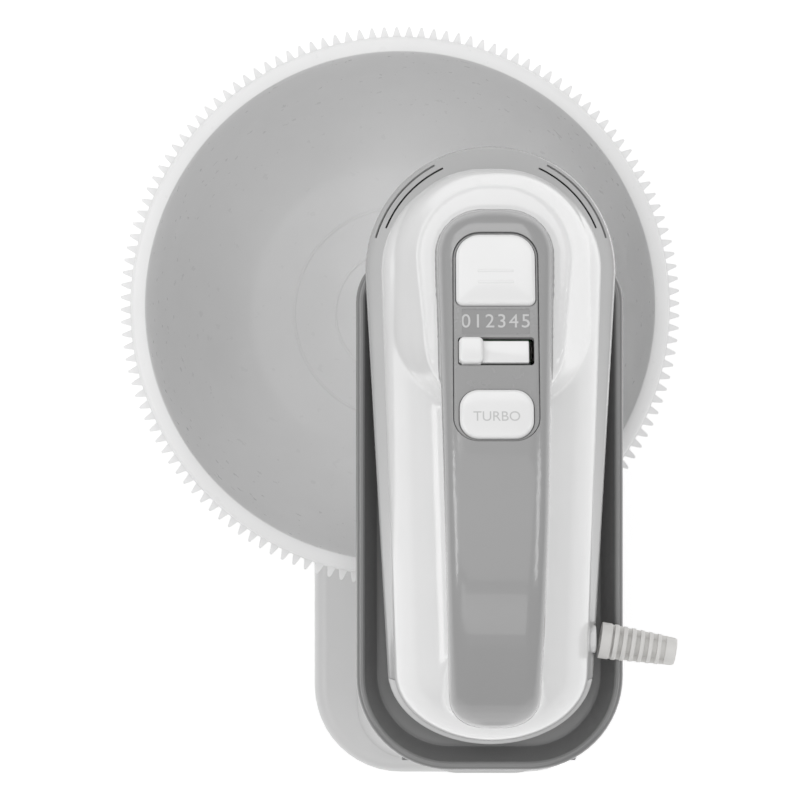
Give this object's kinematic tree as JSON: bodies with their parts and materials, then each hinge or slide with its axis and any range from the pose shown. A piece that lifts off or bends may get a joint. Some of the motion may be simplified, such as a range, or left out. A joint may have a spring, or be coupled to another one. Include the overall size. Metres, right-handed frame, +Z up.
{
  "type": "hand mixer on a bowl stand",
  "caption": "Hand mixer docked in the tilting cradle arm of a stand, with twin beaters over a plastic bowl that turns by a toothed rim.",
  "frame": {"origin": "on the table, under the middle of the object's box", "axes": "+Z up, +Y from the handle's end towards the mixer's nose, +X to the right of a user who stands behind the handle; one base foot's underside is at z = 0"},
  "size_m": [0.2272, 0.3162, 0.2868],
  "materials": {
    "white_plastic": "glossy white moulding",
    "housing_grey": "glossy mid grey moulding",
    "handle_grey": "glossy grey moulding",
    "cradle_grey": "glossy dark grey moulding",
    "stand_grey": "satin light grey moulding",
    "bowl_grey": "satin light grey moulding",
    "nylon": "natural nylon",
    "rubber": "matt black rubber",
    "board": "green circuit board",
    "switch_black": "black moulding",
    "carbon": "pressed carbon",
    "bright_steel": "polished steel",
    "steel": "ground steel",
    "lamination": "stacked sheet steel",
    "copper": "enamelled copper wire",
    "bronze": "sintered bronze"
  },
  "bodies": {
    "stand": {"stand_base": "stand_grey", "base_cover": "cradle_grey", "foot_front_left": "rubber", "foot_front_right": "rubber", "foot_rear_left": "rubber", "foot_rear_right": "rubber", "column": "stand_grey", "hinge_pin": "steel", "release_spring": "steel", "turntable_bush": "bronze"},
    "turning_bowl": {"bowl": "bowl_grey", "turntable": "stand_grey"},
    "cradle_arm": {"cradle_tray": "cradle_grey", "cradle_cover": "cradle_grey", "pinion_bush_lower": "bronze", "pinion_bush_upper": "bronze"},
    "pinion": {"bowl_pinion": "nylon"},
    "mixer": {"upper_housing": "white_plastic", "lower_housing": "housing_grey", "handle_cover": "handle_grey", "housing_screw_1": "steel", "housing_screw_2": "steel", "housing_screw_3": "steel", "housing_screw_4": "steel", "cord_collar": "white_plastic", "strain_relief": "stand_grey", "control_panel": "handle_grey", "slider_track": "white_plastic", "circuit_board": "board", "speed_switch": "switch_black", "turbo_switch": "switch_black", "stator": "lamination", "front_bearing": "bronze", "middle_bearing": "bronze", "rear_bearing": "bronze", "brush_left": "carbon", "brush_right": "carbon", "gearbox_frame": "lamination", "rear_bracket": "lamination", "spindle_bush_left": "bronze", "spindle_bush_right": "bronze"},
    "armature": {"motor_shaft": "steel", "armature_core": "lamination", "armature_winding_front": "copper", "armature_winding_rear": "copper", "commutator": "copper", "cooling_fan": "nylon"},
    "spindle_l": {"spindle_left": "steel", "worm_wheel_left": "nylon"},
    "spindle_r": {"spindle_right": "steel", "worm_wheel_right": "nylon"},
    "output": {"output_wheel": "nylon", "output_spindle": "steel"},
    "beater_l": {"beater_left": "bright_steel"},
    "beater_r": {"beater_right": "bright_steel"},
    "yoke": {"ejector_yoke": "nylon"},
    "ejector": {"ejector_button": "white_plastic"},
    "slider": {"speed_slider": "white_plastic"},
    "turbo": {"turbo_button": "white_plastic"},
    "release": {"tilt_release_button": "cradle_grey"}
  },
  "joints": [
    {"name": "arm_tilt", "type": "hinge", "parent": "stand", "child": "cradle_arm", "pos_m": [0.0352, -0.1275, 0.137], "axis": [1, 0, 0], "range_deg": [0, 50]},
    {"name": "mixer_lift", "type": "slide", "parent": "cradle_arm", "child": "mixer", "axis": [0, 0, 1], "range_m": [0, 0.03]},
    {"name": "armature_spin", "type": "hinge", "parent": "mixer", "child": "armature", "pos_m": [0.0352, 0.0565, 0.2053], "axis": [0, 1, 0], "continuous": true},
    {"name": "spindle_left_spin", "type": "hinge", "parent": "mixer", "child": "spindle_l", "pos_m": [0.0142, 0.0565, 0.1713], "axis": [0, 0, 1], "continuous": true},
    {"name": "spindle_right_spin", "type": "hinge", "parent": "mixer", "child": "spindle_r", "pos_m": [0.0562, 0.0565, 0.1713], "axis": [0, 0, 1], "continuous": true},
    {"name": "output_spin", "type": "hinge", "parent": "mixer", "child": "output", "pos_m": [0.0182, -0.07896, 0.1713], "axis": [0, 0, 1], "continuous": true},
    {"name": "pinion_spin", "type": "hinge", "parent": "cradle_arm", "child": "pinion", "pos_m": [0.0182, -0.07896, 0.137], "axis": [0, 0, 1], "continuous": true},
    {"name": "bowl_spin", "type": "hinge", "parent": "stand", "child": "turning_bowl", "pos_m": [0, 0.0445, 0.0286], "axis": [0, 0, 1], "continuous": true},
    {"name": "ejector_press", "type": "slide", "parent": "mixer", "child": "ejector", "axis": [0, -0.309, -0.9511], "range_m": [0, 0.007], "stiffness_N_per_m": 600, "springref_m": -0.006},
    {"name": "yoke_drop", "type": "slide", "parent": "mixer", "child": "yoke", "axis": [0, 0, -1], "range_m": [0, 0.00668]},
    {"name": "beater_left_drop", "type": "slide", "parent": "spindle_l", "child": "beater_l", "axis": [0, 0, -1], "range_m": [0, 0.00668]},
    {"name": "beater_right_drop", "type": "slide", "parent": "spindle_r", "child": "beater_r", "axis": [0, 0, -1], "range_m": [0, 0.00668]},
    {"name": "speed_slide", "type": "slide", "parent": "mixer", "child": "slider", "axis": [1, 0, 0], "range_m": [0, 0.0183]},
    {"name": "turbo_press", "type": "slide", "parent": "mixer", "child": "turbo", "axis": [0, -0.309, -0.9511], "range_m": [0, 0.0025], "stiffness_N_per_m": 800, "springref_m": -0.002},
    {"name": "release_press", "type": "slide", "parent": "stand", "child": "release", "axis": [1, 0, 0], "range_m": [0, 0.004], "stiffness_N_per_m": 700, "springref_m": -0.003, "deforming": ["release_spring"]}
  ],
  "couplings": [
    {"joint": "spindle_left_spin", "follows": "armature_spin", "ratio": -0.03125},
    {"joint": "spindle_right_spin", "follows": "armature_spin", "ratio": 0.03125},
    {"joint": "output_spin", "follows": "armature_spin", "ratio": -0.041667},
    {"joint": "pinion_spin", "follows": "armature_spin", "ratio": -0.041667},
    {"joint": "bowl_spin", "follows": "armature_spin", "ratio": 0.0047619},
    {"joint": "yoke_drop", "follows": "ejector_press", "ratio": 0.95106},
    {"joint": "beater_left_drop", "follows": "ejector_press", "ratio": 0.95106},
    {"joint": "beater_right_drop", "follows": "ejector_press", "ratio": 0.95106}
  ]
}
